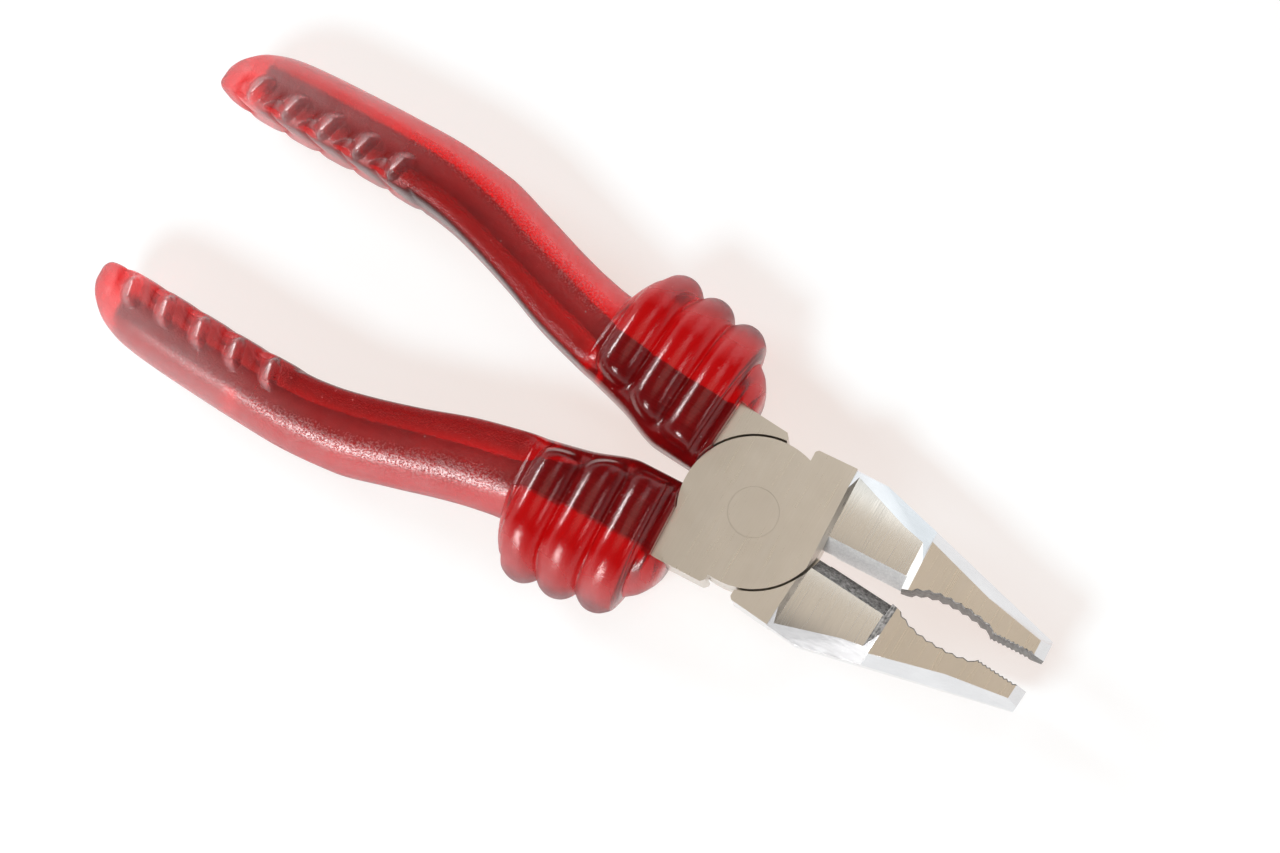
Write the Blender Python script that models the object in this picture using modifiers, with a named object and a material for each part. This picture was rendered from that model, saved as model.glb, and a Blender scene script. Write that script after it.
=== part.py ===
"""Combination pliers, 180 mm: two like forged levers on one flush rivet, each with a moulded ribbed grip.

Frame: metres, +X from the rivet to the jaw tips, +Y to the top lever's jaw, +Z up. The origin is on the rivet's
axis, at the flat underside of the head. One lever is modelled in its own closed frame, where the jaws meet at
y = 0 and the mid-plane is z = 0, with its jaw at +y and its handle at -y. The other lever is the same
forging turned half a turn about X. A hub empty on the rivet's axis then opens each of them.
"""
import math

import bmesh
import bpy
from mathutils import Matrix, Vector

MM = 0.001
COLLECTION = "combination_pliers"

# Opening of the jaws at rest, from closed
REST_OPENING = math.radians(6.0)

# Lap joint and rivet
HEAD_THICKNESS = 11.0 * MM
LAP_RADIUS = 13.2 * MM
LAP_GAP = 0.3 * MM
RUNNING_GAP = 0.4 * MM
RIVET_SHANK_RADIUS = 3.4 * MM
RIVET_HEAD_RADIUS = 4.2 * MM
RIVET_SINK_DEPTH = 1.2 * MM
RIVET_GAP = 0.25 * MM

# Jaw, in plan
JAW_STEP_X = 4.6 * MM
JAW_STEP_Y = 14.6 * MM
JAW_STEP_CHAMFER = 0.5 * MM
JAW_BEND_X = 18.2 * MM
JAW_BEND_Y = 14.9 * MM
JAW_TIP_X = 54.9 * MM
JAW_TIP_WIDTH = 3.9 * MM
JAW_CLOSED_GAP = 0.1 * MM

# Cutter and its relief next to the lap plate
CUTTER_START_X = 15.8 * MM
CUTTER_END_X = 28.2 * MM
CUTTER_RELIEF = 0.15 * MM
CUTTER_BEVEL_WIDTH = 2.4 * MM
CUTTER_FLAT_Z = 3.75 * MM

# Pipe grip and its teeth
PIPE_START_X = 30.2 * MM
PIPE_END_X = 45.4 * MM
PIPE_DEPTH = 1.4 * MM
PIPE_LIP = 0.35 * MM
PIPE_ARCH = 2.4
PIPE_LEAN = 0.2
PIPE_TEETH = 8
PIPE_TOOTH_DEPTH = 0.35 * MM
FLAT_TEETH = 9
FLAT_TOOTH_DEPTH = 0.25 * MM
FLAT_CROWN = 0.06 * MM

# Faces of the jaw, in height
PLATE_END_X = 12.4 * MM
PLATE_SLOPE = 0.8 * MM
NOSE_START_X = 29.3 * MM
NOSE_SLOPE = 1.4 * MM
NOSE_Z = 5.0 * MM
TIP_BEVEL_LENGTH = 2.0 * MM
TIP_BEVEL_DROP = 1.9 * MM

# Outer bevels of the jaw: their width where each starts and ends, and the height that they reach down to
BEVEL_LOW_Z = 2.3 * MM
CUTTER_BEVEL_OUT_START = 2.5 * MM
CUTTER_BEVEL_OUT_END = 3.2 * MM
NOSE_BEVEL_OUT_START = 2.1 * MM
NOSE_BEVEL_OUT_END = 1.05 * MM

# Handle shoulder and the tang inside the grip
SHOULDER_INSET = 1.0 * MM
SHOULDER_BACK_X = SHOULDER_INSET - LAP_RADIUS
SHOULDER_REACH = 14.7 * MM
STOP_TAB_X = -2.0 * MM
STOP_TAB_CHAMFER = 0.7 * MM
TANG_THICKNESS = 8.0 * MM
TANG_ROOT_DEPTH = 2.2 * MM
TANG_ROOT_X = SHOULDER_BACK_X + TANG_ROOT_DEPTH
TANG_END_WALL = 7.8 * MM
TANG_STATIONS = 26

# Grip
GRIP_END_X = -125.1 * MM
GRIP_OVERHANG = 2.6 * MM
GRIP_NOSE_X = SHOULDER_BACK_X + GRIP_OVERHANG
GRIP_FIT = 0.3 * MM
COLLAR_LENGTH = 29.4 * MM
COLLAR_BACK_X = GRIP_NOSE_X - COLLAR_LENGTH
HANDLE_REACH = 27.5 * MM
HANDLE_HALF_HEIGHT = 7.4 * MM
COLLAR_HALF_HEIGHT = 8.5 * MM
LIP_HALF_HEIGHT = 7.3 * MM
END_HALF_HEIGHT = 6.6 * MM
COLLAR_SQUARENESS = 3.0
HANDLE_SQUARENESS = 2.5
RING_POINTS = 22

# Ribs of the collar and finger lobes of the handle
RIB_COUNT = 3
RIB_SETBACK = 6.6 * MM
RIB_FIRST_X = COLLAR_BACK_X + RIB_SETBACK
RIB_PITCH = 7.1 * MM
RIB_REACH = 2.45 * MM
RIB_RISE = 1.4 * MM
RIB_FADE = 1.2
LOBE_COUNT = 5
LOBE_SETBACK = 7.6 * MM
LOBE_FIRST_X = GRIP_END_X + LOBE_SETBACK
LOBE_PITCH = 7.3 * MM
LOBE_HEIGHT = 0.8 * MM
LOBE_SLANT = 3.0 * MM

# Sections of the grip's loft: near its end, over the lobes, along the shaft and along the collar
END_STEPS = (0.0, 0.25 * MM, 0.7 * MM, 1.4 * MM, 2.4 * MM)
FINGER_SECTIONS = 27
SHAFT_SECTIONS = 10
COLLAR_SECTIONS = 32

# Curves along one handle, as (place, value). Place 0 is the grip's end, 1 the collar's back and 2 the grip's nose.
# An edge's value is its distance from the tool's centre line; the handle's outer edge bows out to HANDLE_REACH.
GRIP_INNER = ((0.0, 13.4 * MM), (0.008, 12.0 * MM), (0.036, 11.9 * MM), (0.175, 12.4 * MM), (0.29, 13.1 * MM),
              (0.41, 13.7 * MM), (0.52, 13.9 * MM), (0.58, 13.5 * MM), (0.64, 12.6 * MM), (0.755, 10.1 * MM),
              (0.87, 7.1 * MM), (0.99, 5.0 * MM), (1.3, 3.0 * MM), (1.6, 0.6 * MM), (2.0, 0.6 * MM))
GRIP_OUTER = ((0.0, HANDLE_REACH - 12.9 * MM), (0.008, HANDLE_REACH - 10.5 * MM), (0.03, HANDLE_REACH - 7.7 * MM),
              (0.065, HANDLE_REACH - 5.2 * MM), (0.117, HANDLE_REACH - 3.4 * MM), (0.175, HANDLE_REACH - 2.5 * MM),
              (0.29, HANDLE_REACH - 1.4 * MM), (0.41, HANDLE_REACH - 0.55 * MM), (0.52, HANDLE_REACH),
              (0.64, HANDLE_REACH - 0.5 * MM), (0.755, HANDLE_REACH - 2.7 * MM), (0.87, HANDLE_REACH - 5.2 * MM),
              (0.93, 21.3 * MM), (1.0, 20.6 * MM), (1.085, 24.4 * MM), (1.16, 26.4 * MM), (1.34, 26.6 * MM),
              (1.58, 25.4 * MM), (1.73, 24.5 * MM), (1.84, 21.0 * MM), (1.92, 20.0 * MM), (2.0, 17.0 * MM))
GRIP_HALF_HEIGHT = ((0.0, 0.6 * MM), (0.008, 2.6 * MM), (0.028, 4.8 * MM), (0.07, END_HALF_HEIGHT),
                    (0.185, HANDLE_HALF_HEIGHT), (1.0, HANDLE_HALF_HEIGHT), (1.14, COLLAR_HALF_HEIGHT),
                    (1.8, COLLAR_HALF_HEIGHT), (2.0, LIP_HALF_HEIGHT))
TANG_INNER = ((0.09, 15.8 * MM), (0.29, 17.4 * MM), (0.52, 18.2 * MM), (0.64, 16.9 * MM), (0.755, 14.6 * MM),
              (0.87, 12.4 * MM), (0.99, 10.4 * MM), (1.1, 8.8 * MM), (1.37, 5.8 * MM), (1.65, 3.9 * MM),
              (2.0, 3.4 * MM))
TANG_OUTER = ((0.09, 20.2 * MM), (0.29, 21.6 * MM), (0.52, 22.6 * MM), (0.64, 21.5 * MM), (0.755, 19.1 * MM),
              (0.87, 16.8 * MM), (0.99, 14.6 * MM), (1.17, 13.8 * MM), (1.5, 13.4 * MM), (2.0, 13.8 * MM))

HALF_HEAD = HEAD_THICKNESS / 2
LAP_ROOM_RADIUS = LAP_RADIUS + RUNNING_GAP
CUTTER_CLEAR = 6.0 * MM


def handle_x(place):
    """Where a place along the handle lies: 0 is the grip's end, 1 the collar's back, 2 the grip's nose."""
    if place < 1:
        return GRIP_END_X + place * (COLLAR_BACK_X - GRIP_END_X)
    return COLLAR_BACK_X + (place - 1) * (GRIP_NOSE_X - COLLAR_BACK_X)


def smooth_profile(points):
    """A smooth curve through (place, value) points along the handle, as a function of x without overshoot."""
    xs = [handle_x(place) for place, _ in points]
    ys = [value for _, value in points]
    count = len(xs)
    slopes = [(ys[i + 1] - ys[i]) / (xs[i + 1] - xs[i]) for i in range(count - 1)]
    tangents = [slopes[0]]
    for before, after in zip(slopes, slopes[1:]):
        tangents.append(2 * before * after / (before + after) if before * after > 0 else 0.0)
    tangents.append(slopes[-1])

    def value(x):
        x = min(max(x, xs[0]), xs[-1])
        i = max(k for k in range(count - 1) if xs[k] <= x)
        span = xs[i + 1] - xs[i]
        t = (x - xs[i]) / span
        rise = t * t * (3 - 2 * t)
        lead = span * tangents[i] * t * (1 - t) ** 2
        trail = span * tangents[i + 1] * t * t * (t - 1)
        return ys[i] * (1 - rise) + ys[i + 1] * rise + lead + trail

    return value


def linear_steps(start, end, count):
    """Evenly spaced values from start to end, both included."""
    return [start + (end - start) * i / (count - 1) for i in range(count)]


def arc_points(radius, start, end, count):
    """Points on a circle about the rivet, from one angle to another."""
    return [(radius * math.cos(a), radius * math.sin(a)) for a in linear_steps(start, end, count)]


def collection(name):
    made = bpy.data.collections.new(name)
    bpy.context.scene.collection.children.link(made)
    return made


def mesh_object(name, mesh, holder):
    made = bpy.data.objects.new(name, mesh)
    holder.objects.link(made)
    return made


def bmesh_object(name, bm, holder):
    mesh = bpy.data.meshes.new(name)
    bmesh.ops.recalc_face_normals(bm, faces=bm.faces)
    bm.to_mesh(mesh)
    bm.free()
    return mesh_object(name, mesh, holder)


def evaluated_mesh(source):
    """A new mesh of an object as its modifiers leave it."""
    graph = bpy.context.evaluated_depsgraph_get()
    graph.update()
    return bpy.data.meshes.new_from_object(source.evaluated_get(graph))


def flat_solid(name, outline, half_thickness, holder):
    """A flat outline in XY, given its thickness about z = 0 as a filled curve, then made a closed mesh."""
    curve = bpy.data.curves.new(name + "_outline", "CURVE")
    curve.dimensions = "2D"
    curve.fill_mode = "BOTH"
    curve.extrude = half_thickness
    spline = curve.splines.new("POLY")
    spline.points.add(len(outline) - 1)
    for point, (x, y) in zip(spline.points, outline):
        point.co = (x, y, 0.0, 1.0)
    spline.use_cyclic_u = True
    drawn = mesh_object(name + "_outline", curve, holder)
    mesh = evaluated_mesh(drawn)
    bpy.data.objects.remove(drawn)
    bm = bmesh.new()
    bm.from_mesh(mesh)
    bmesh.ops.remove_doubles(bm, verts=bm.verts, dist=1e-7)
    bpy.data.meshes.remove(mesh)
    return bmesh_object(name, bm, holder)


def hull_solid(name, points, holder):
    """The convex solid that holds a few corner points."""
    bm = bmesh.new()
    for point in points:
        bm.verts.new(point)
    bmesh.ops.convex_hull(bm, input=bm.verts)
    loose = [v for v in bm.verts if not v.link_faces]
    bmesh.ops.delete(bm, geom=loose, context="VERTS")
    return bmesh_object(name, bm, holder)


def cylinder_solid(name, radius, z_low, z_high, segments, holder):
    bm = bmesh.new()
    middle = Matrix.Translation((0, 0, (z_low + z_high) / 2))
    bmesh.ops.create_cone(bm, cap_ends=True, segments=segments, radius1=radius, radius2=radius,
                          depth=z_high - z_low, matrix=middle)
    return bmesh_object(name, bm, holder)


def boolean(target, tool, operation):
    step = target.modifiers.new(tool.name, "BOOLEAN")
    step.operation = operation
    step.solver = "EXACT"
    step.object = tool


def mark_tool(tool):
    tool.hide_render = True
    tool.display_type = "WIRE"


def jaw_outer(x):
    """Outer edge of the jaw between the bend and the tip."""
    share = (x - JAW_BEND_X) / (JAW_TIP_X - JAW_BEND_X)
    return JAW_BEND_Y + (JAW_TIP_WIDTH - JAW_BEND_Y) * share


def toothed(start, end, count, depth, base):
    """A row of teeth along x: valley and crest points laid on the line that base gives."""
    row = []
    pitch = (end - start) / count
    for i in range(count):
        for share, cut in ((0.25, depth), (0.75, 0.0)):
            x = start + (i + share) * pitch
            row.append((x, base(x) + cut))
    return row


def pipe_line(x):
    """The hollow of the pipe grip, a flat arch between its two lips."""
    u = (2 * x - PIPE_START_X - PIPE_END_X) / (PIPE_END_X - PIPE_START_X)
    return JAW_CLOSED_GAP + PIPE_LIP + PIPE_DEPTH * (1 - abs(u) ** PIPE_ARCH) * (1 - PIPE_LEAN * u)


def flat_line(x):
    """The gripping flat, hollowed a hair between the pipe grip and the tip."""
    u = (2 * x - PIPE_END_X - JAW_TIP_X) / (JAW_TIP_X - PIPE_END_X)
    return JAW_CLOSED_GAP + FLAT_CROWN * (1 - u * u)


def head_outline():
    """Plan of the full-thickness steel: jaw, lap plate and handle shoulder, counter-clockwise."""
    step_angle = math.acos(JAW_STEP_X / LAP_RADIUS)
    back_angle = 2 * math.pi - math.acos(SHOULDER_BACK_X / LAP_RADIUS)
    tab_angle = 2 * math.pi - math.acos(STOP_TAB_X / LAP_RADIUS)
    relief_angle = 2 * math.pi + math.asin(CUTTER_RELIEF / LAP_RADIUS)
    points = [(JAW_TIP_X, JAW_CLOSED_GAP), (JAW_TIP_X, JAW_TIP_WIDTH), (JAW_BEND_X, JAW_BEND_Y),
              (JAW_STEP_X + JAW_STEP_CHAMFER, JAW_STEP_Y), (JAW_STEP_X, JAW_STEP_Y - JAW_STEP_CHAMFER)]
    points += arc_points(LAP_RADIUS, step_angle, back_angle, 26)
    points += [(SHOULDER_BACK_X, -SHOULDER_REACH), (STOP_TAB_X - STOP_TAB_CHAMFER, -SHOULDER_REACH),
               (STOP_TAB_X, -SHOULDER_REACH + STOP_TAB_CHAMFER)]
    points += arc_points(LAP_RADIUS, tab_angle, relief_angle, 18)
    points += [(CUTTER_START_X, CUTTER_RELIEF), (CUTTER_START_X, 0.0), (CUTTER_END_X, 0.0)]
    points += [(PIPE_START_X, JAW_CLOSED_GAP + PIPE_LIP)]
    points += toothed(PIPE_START_X, PIPE_END_X, PIPE_TEETH, PIPE_TOOTH_DEPTH, pipe_line)
    points += [(PIPE_END_X, JAW_CLOSED_GAP)]
    points += toothed(PIPE_END_X, JAW_TIP_X - TIP_BEVEL_LENGTH, FLAT_TEETH, FLAT_TOOTH_DEPTH, flat_line)
    return points


def tang_outline(room):
    """Plan of the tang, grown by room on its sides and end for the grip's cavity."""
    inner = smooth_profile(TANG_INNER)
    outer = smooth_profile(TANG_OUTER)
    end = GRIP_END_X + TANG_END_WALL
    stations = linear_steps(TANG_ROOT_X, end, TANG_STATIONS)
    edge = [(x, -inner(x) + room) for x in stations] + [(end - room, -inner(end) + room)]
    back = [(end - room, -outer(end) - room)] + [(x, -outer(x) - room) for x in reversed(stations)]
    return edge + back


def jaw_face_cutter(name, side, holder):
    """What is ground off one face of the jaw: cutter flat, nose and tip bevel, as one profile in XZ."""
    high = HALF_HEAD + CUTTER_CLEAR
    far = JAW_TIP_X + CUTTER_CLEAR
    profile = [(PLATE_END_X, HALF_HEAD), (PLATE_END_X + PLATE_SLOPE, CUTTER_FLAT_Z),
               (NOSE_START_X - NOSE_SLOPE, CUTTER_FLAT_Z), (NOSE_START_X, NOSE_Z),
               (JAW_TIP_X - TIP_BEVEL_LENGTH, NOSE_Z), (JAW_TIP_X, NOSE_Z - TIP_BEVEL_DROP),
               (far, NOSE_Z - TIP_BEVEL_DROP), (far, high), (PLATE_END_X, high)]
    tool = flat_solid(name, [(x, side * z) for x, z in profile], JAW_BEND_Y + CUTTER_CLEAR, holder)
    tool.data.transform(Matrix.Rotation(math.pi / 2, 4, "X"))
    return tool


def bevel_cutter(name, side, ends, top_z, holder):
    """A wedge that bevels the jaw's outer edge between two stations, each an x and a bevel width."""
    points = []
    for x, width in ends:
        edge = jaw_outer(x)
        slope = (top_z - BEVEL_LOW_Z) / width
        inner_y = edge - width - CUTTER_CLEAR / 2
        points += [(x, inner_y, side * (top_z + slope * CUTTER_CLEAR / 2)),
                   (x, edge + width, side * (BEVEL_LOW_Z - slope * width)),
                   (x, edge + CUTTER_CLEAR, side * (top_z + slope * CUTTER_CLEAR / 2))]
    return hull_solid(name, points, holder)


def edge_cutter(name, side, holder):
    """The wedge that grinds the cutter's bevel, from the cutter flat down to the edge on the mid-plane."""
    high = HALF_HEAD + CUTTER_CLEAR
    reach = high / CUTTER_FLAT_Z * CUTTER_BEVEL_WIDTH
    points = []
    for x in (PLATE_END_X + PLATE_SLOPE, CUTTER_END_X):
        points += [(x, 0.0, 0.0), (x, reach, side * high), (x, -CUTTER_CLEAR, side * high),
                   (x, -CUTTER_CLEAR, 0.0)]
    return hull_solid(name, points, holder)


def turned_solid(name, profile, holder):
    """A profile of (radius, z) points, top to bottom, turned about Z."""
    bm = bmesh.new()
    verts = [bm.verts.new((r, 0.0, z)) for r, z in profile]
    for a, b in zip(verts, verts[1:]):
        bm.edges.new((a, b))
    mesh = bpy.data.meshes.new(name)
    bm.to_mesh(mesh)
    bm.free()
    made = mesh_object(name, mesh, holder)
    turn = made.modifiers.new("turn", "SCREW")
    turn.steps = 40
    turn.render_steps = 40
    turn.use_merge_vertices = True
    turn.merge_threshold = 1e-6
    return made


def rivet_profile(room, overrun):
    """Rivet with a countersunk head at each face; room widens it for the hole, overrun carries it past the face."""
    top = HALF_HEAD + overrun
    head = RIVET_HEAD_RADIUS + room
    shank = RIVET_SHANK_RADIUS + room
    sink = HALF_HEAD - RIVET_SINK_DEPTH
    return [(0.0, top), (head, top), (head, HALF_HEAD), (shank, sink), (shank, -sink), (head, -HALF_HEAD),
            (head, -top), (0.0, -top)]


def lever_mesh(tools):
    """One lever in its closed frame: the forging's outline, its tang, and what is ground away."""
    blank = flat_solid("lever_blank", head_outline(), HALF_HEAD, tools)
    tang = flat_solid("tang", tang_outline(0.0), TANG_THICKNESS / 2, tools)
    boolean(blank, tang, "UNION")
    pocket = cylinder_solid("lap_pocket", LAP_ROOM_RADIUS, -HEAD_THICKNESS, LAP_GAP / 2, 72, tools)
    boolean(blank, pocket, "DIFFERENCE")
    hole = turned_solid("rivet_hole", rivet_profile(RIVET_GAP, CUTTER_CLEAR), tools)
    boolean(blank, hole, "DIFFERENCE")
    cutter_ends = ((PLATE_END_X, CUTTER_BEVEL_OUT_START), (NOSE_START_X, CUTTER_BEVEL_OUT_END))
    nose_ends = ((NOSE_START_X - NOSE_SLOPE / 2, NOSE_BEVEL_OUT_START),
                 (JAW_TIP_X + CUTTER_CLEAR, NOSE_BEVEL_OUT_END))
    for side, face in ((1, "top"), (-1, "bottom")):
        boolean(blank, jaw_face_cutter("jaw_face_" + face, side, tools), "DIFFERENCE")
        boolean(blank, bevel_cutter("cutter_side_" + face, side, cutter_ends, CUTTER_FLAT_Z, tools), "DIFFERENCE")
        boolean(blank, bevel_cutter("nose_side_" + face, side, nose_ends, NOSE_Z, tools), "DIFFERENCE")
        boolean(blank, edge_cutter("cutter_edge_" + face, side, tools), "DIFFERENCE")
    mesh = evaluated_mesh(blank)
    mesh.name = "lever"
    return mesh


def bump(x, centre, half_width):
    """A rounded hump, 1 at its centre and 0 from half_width outwards."""
    return max(0.0, 1.0 - ((x - centre) / half_width) ** 2)


def row_of_bumps(x, first, pitch, count, half_width):
    return max(bump(x, first + i * pitch, half_width) for i in range(count))


def grip_ring(x, inner, outer, height):
    """One section of the grip across x: a soft rectangle with ribs on its outside and lobes on its inside."""
    rib = row_of_bumps(x, RIB_FIRST_X, RIB_PITCH, RIB_COUNT, RIB_PITCH / 2)
    in_y = inner(x)
    out_y = outer(x) + RIB_REACH * rib
    half_height = height(x)
    middle = (in_y + out_y) / 2
    half_width = (out_y - in_y) / 2
    power = 2 / (COLLAR_SQUARENESS if x > COLLAR_BACK_X else HANDLE_SQUARENESS)
    ring = []
    for k in range(RING_POINTS):
        angle = 2 * math.pi * (k + 0.5) / RING_POINTS
        across = math.copysign(abs(math.cos(angle)) ** power, math.cos(angle))
        up = math.copysign(abs(math.sin(angle)) ** power, math.sin(angle))
        rise = RIB_RISE * rib * min(1.0, max(0.0, RIB_FADE + across))
        lift = max(0.0, -across) ** 0.5
        lean = LOBE_SLANT * (1 - abs(up))
        lobe = row_of_bumps(x - lean, LOBE_FIRST_X, LOBE_PITCH, LOBE_COUNT, LOBE_PITCH / 2)
        swell = LOBE_HEIGHT * lobe * lift
        y = -(middle + (half_width + swell) * across)
        ring.append(Vector((x, y, (half_height + rise + swell * abs(up)) * up)))
    return ring


def grip_stations():
    lobes_start = LOBE_FIRST_X - LOBE_PITCH / 2
    lobes_end = LOBE_FIRST_X + (LOBE_COUNT - 0.5) * LOBE_PITCH + LOBE_SLANT
    end_steps = [GRIP_END_X + step for step in END_STEPS]
    finger_steps = linear_steps(lobes_start, lobes_end, FINGER_SECTIONS)
    shaft_steps = linear_steps(lobes_end, COLLAR_BACK_X, SHAFT_SECTIONS)[1:]
    collar_steps = linear_steps(COLLAR_BACK_X, GRIP_NOSE_X, COLLAR_SECTIONS)[1:]
    return end_steps + finger_steps + shaft_steps + collar_steps


def grip_mesh(tools):
    """One grip in the lever's closed frame: a loft of unlike sections with the tang's cavity cut into it."""
    inner = smooth_profile(GRIP_INNER)
    outer = smooth_profile(GRIP_OUTER)
    height = smooth_profile(GRIP_HALF_HEIGHT)
    bm = bmesh.new()
    rings = [[bm.verts.new(p) for p in grip_ring(x, inner, outer, height)] for x in grip_stations()]
    for ring, following in zip(rings, rings[1:]):
        for k in range(RING_POINTS):
            after = (k + 1) % RING_POINTS
            bm.faces.new((ring[k], ring[after], following[after], following[k]))
    bm.faces.new(rings[0])
    bm.faces.new(rings[-1])
    body = bmesh_object("grip_body", bm, tools)
    cavity = flat_solid("tang_cavity", tang_outline(GRIP_FIT), TANG_THICKNESS / 2 + GRIP_FIT, tools)
    boolean(body, cavity, "DIFFERENCE")
    front = SHOULDER_BACK_X - GRIP_FIT
    side = SHOULDER_REACH + GRIP_FIT
    high = COLLAR_HALF_HEIGHT + CUTTER_CLEAR
    seat = hull_solid("shoulder_seat", [(x, y, z) for x in (front, CUTTER_CLEAR) for y in (-side, CUTTER_CLEAR)
                                        for z in (-high, high)], tools)
    boolean(body, seat, "DIFFERENCE")
    room = cylinder_solid("lap_room", LAP_ROOM_RADIUS, -high, high, 72, tools)
    boolean(body, room, "DIFFERENCE")
    mesh = evaluated_mesh(body)
    mesh.name = "grip"
    return mesh


def steel():
    return principled("forged_steel", (0.55, 0.53, 0.49), 0.35, 1.0)


def red_plastic():
    return principled("red_vinyl", (0.45, 0.01, 0.02), 0.25, 0.0)


def principled(name, colour, roughness, metallic):
    made = bpy.data.materials.new(name)
    made.use_nodes = True
    shader = made.node_tree.nodes["Principled BSDF"]
    shader.inputs["Base Color"].default_value = (*colour, 1.0)
    shader.inputs["Roughness"].default_value = roughness
    shader.inputs["Metallic"].default_value = metallic
    return made


def hub(name, turn, parts):
    """An empty on the rivet's axis, at the head's mid-plane, that a lever and its grip hang on."""
    made = mesh_object(name, None, parts)
    made.matrix_world = Matrix.Translation((0, 0, HALF_HEAD)) @ turn
    return made


def main():
    for old in list(bpy.data.objects):
        bpy.data.objects.remove(old)
    parts = collection(COLLECTION)
    tools = collection("cutters")
    lever = lever_mesh(tools)
    grip = grip_mesh(tools)
    lever.materials.append(steel())
    grip.materials.append(red_plastic())
    for mesh in (lever, grip):
        mesh.shade_smooth()
        mesh.set_sharp_from_angle(angle=math.radians(30))
    half = REST_OPENING / 2
    turns = {"top": Matrix.Rotation(half, 4, "Z"),
             "bottom": Matrix.Rotation(-half, 4, "Z") @ Matrix.Rotation(math.pi, 4, "X")}
    hubs = {side: hub(side + "_hub", turn, parts) for side, turn in turns.items()}
    for side, carrier in hubs.items():
        for suffix, mesh in (("_lever", lever), ("_lever_grip", grip)):
            piece = mesh_object(side + suffix, mesh, parts)
            piece.parent = carrier
    rivet = turned_solid("pivot_rivet", rivet_profile(0.0, 0.0), parts)
    rivet.data.materials.append(lever.materials[0])
    rivet.parent = hubs["top"]
    for tool in tools.objects:
        mark_tool(tool)
    bpy.context.view_layer.update()


main()
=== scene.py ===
# %% [markdown]
# # Combination pliers with clear red sleeves
# Two forged steel levers turn on one flush rivet, and each handle wears a moulded sleeve of clear red
# vinyl. The shapes that work and move come from the frame, a model that is already built to size. This
# lesson dresses it: the steel gets its ground, polished and rough faces, and the sleeves get their ribs and
# finger ridges.

# %% Load the frame
import math

import bmesh
import bpy
import numpy as np
from mathutils import Matrix, Vector


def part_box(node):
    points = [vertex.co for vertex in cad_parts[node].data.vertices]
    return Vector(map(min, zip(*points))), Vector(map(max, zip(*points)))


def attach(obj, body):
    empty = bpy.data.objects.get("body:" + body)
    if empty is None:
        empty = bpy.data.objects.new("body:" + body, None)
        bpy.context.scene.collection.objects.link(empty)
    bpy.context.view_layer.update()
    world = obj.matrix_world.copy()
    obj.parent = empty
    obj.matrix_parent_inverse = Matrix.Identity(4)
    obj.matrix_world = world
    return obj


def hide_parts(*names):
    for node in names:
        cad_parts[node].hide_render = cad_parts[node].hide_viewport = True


MM = 0.001
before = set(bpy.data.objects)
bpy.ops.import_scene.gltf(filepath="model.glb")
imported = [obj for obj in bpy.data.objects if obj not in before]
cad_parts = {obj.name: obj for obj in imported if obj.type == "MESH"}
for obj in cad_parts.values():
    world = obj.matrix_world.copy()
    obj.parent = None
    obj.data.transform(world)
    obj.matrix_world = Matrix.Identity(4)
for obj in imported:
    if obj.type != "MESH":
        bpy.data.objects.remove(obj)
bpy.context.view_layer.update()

# %% [markdown]
# ## Camera
# The tool lies on a white table and is seen from almost straight above, a little from the jaw side. A lens
# of 70 mm at arm's length keeps both ends in the picture. The picture's up direction is given as a vector,
# because for a camera that looks down, the world's own up says nothing about how the picture is turned.

# %% Camera
CAMERA_PLACE = Vector((45.7, -42.6, 432.3)) * MM
CAMERA_AIM = Vector((-25.4, 3.6, 5.5)) * MM
PICTURE_UP = Vector((-0.493, 0.852, 0.174))
LENS_MM = 70.0
NEAREST_SEEN = 10.0 * MM


def in_scene(name, data):
    """A new object with that data, linked into the scene."""
    made = bpy.data.objects.new(name, data)
    bpy.context.scene.collection.objects.link(made)
    return made


camera = in_scene("camera", bpy.data.cameras.new("camera"))
camera.data.lens = LENS_MM
camera.data.clip_start = NEAREST_SEEN
bpy.context.scene.camera = camera
backward = (CAMERA_PLACE - CAMERA_AIM).normalized()
rightward = PICTURE_UP.cross(backward).normalized()
upward = backward.cross(rightward)
turn = Matrix((rightward, upward, backward)).transposed().to_4x4()
camera.matrix_world = Matrix.Translation(CAMERA_PLACE) @ turn
print("camera looks down by", round(math.degrees(math.asin(backward.z)), 1), "degrees")

# %% [markdown]
# ## Nodes in code
# A material is a small graph of nodes. In the editor it is drawn by hand. In code a few helpers keep it
# readable: one feeds a socket, one adds a node with all its inputs, and the others do the sums, ranges and
# mixes that every finish below needs. Each gives back the socket that holds its result, so they nest like a
# formula.

# %% Node helpers
def give(tree, value, socket):
    """Feeds a socket from another socket, or sets it to a plain number or colour."""
    if isinstance(value, bpy.types.NodeSocket):
        tree.links.new(value, socket)
    else:
        socket.default_value = value


def add(tree, kind, settings=None, **inputs):
    """A new node with its settings and inputs; an underscore in an input's name stands for a space."""
    made = tree.nodes.new("ShaderNode" + kind)
    for name, value in (settings or {}).items():
        setattr(made, name, value)
    for name, value in inputs.items():
        give(tree, value, made.inputs[name.replace("_", " ")])
    return made


def blank_material(name):
    """A material with its Principled shader, ready to be fed."""
    made = bpy.data.materials.new(name)
    made.use_nodes = True
    return made, made.node_tree, made.node_tree.nodes["Principled BSDF"]


def dress(tree, shader, values):
    """Feeds a shader's inputs by their names."""
    for name, value in values.items():
        give(tree, value, shader.inputs[name])


# %% Sums, ranges and mixes
MIX_FIRST, MIX_SECOND, MIX_RESULT = 6, 7, 2


def calculate(tree, operation, *values):
    """One Math node on sockets or plain numbers."""
    made = add(tree, "Math", {"operation": operation})
    for value, socket in zip(values, made.inputs):
        give(tree, value, socket)
    return made.outputs[0]


def product(tree, first, *others):
    """All the values multiplied."""
    for other in others:
        first = calculate(tree, "MULTIPLY", first, other)
    return first


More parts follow.
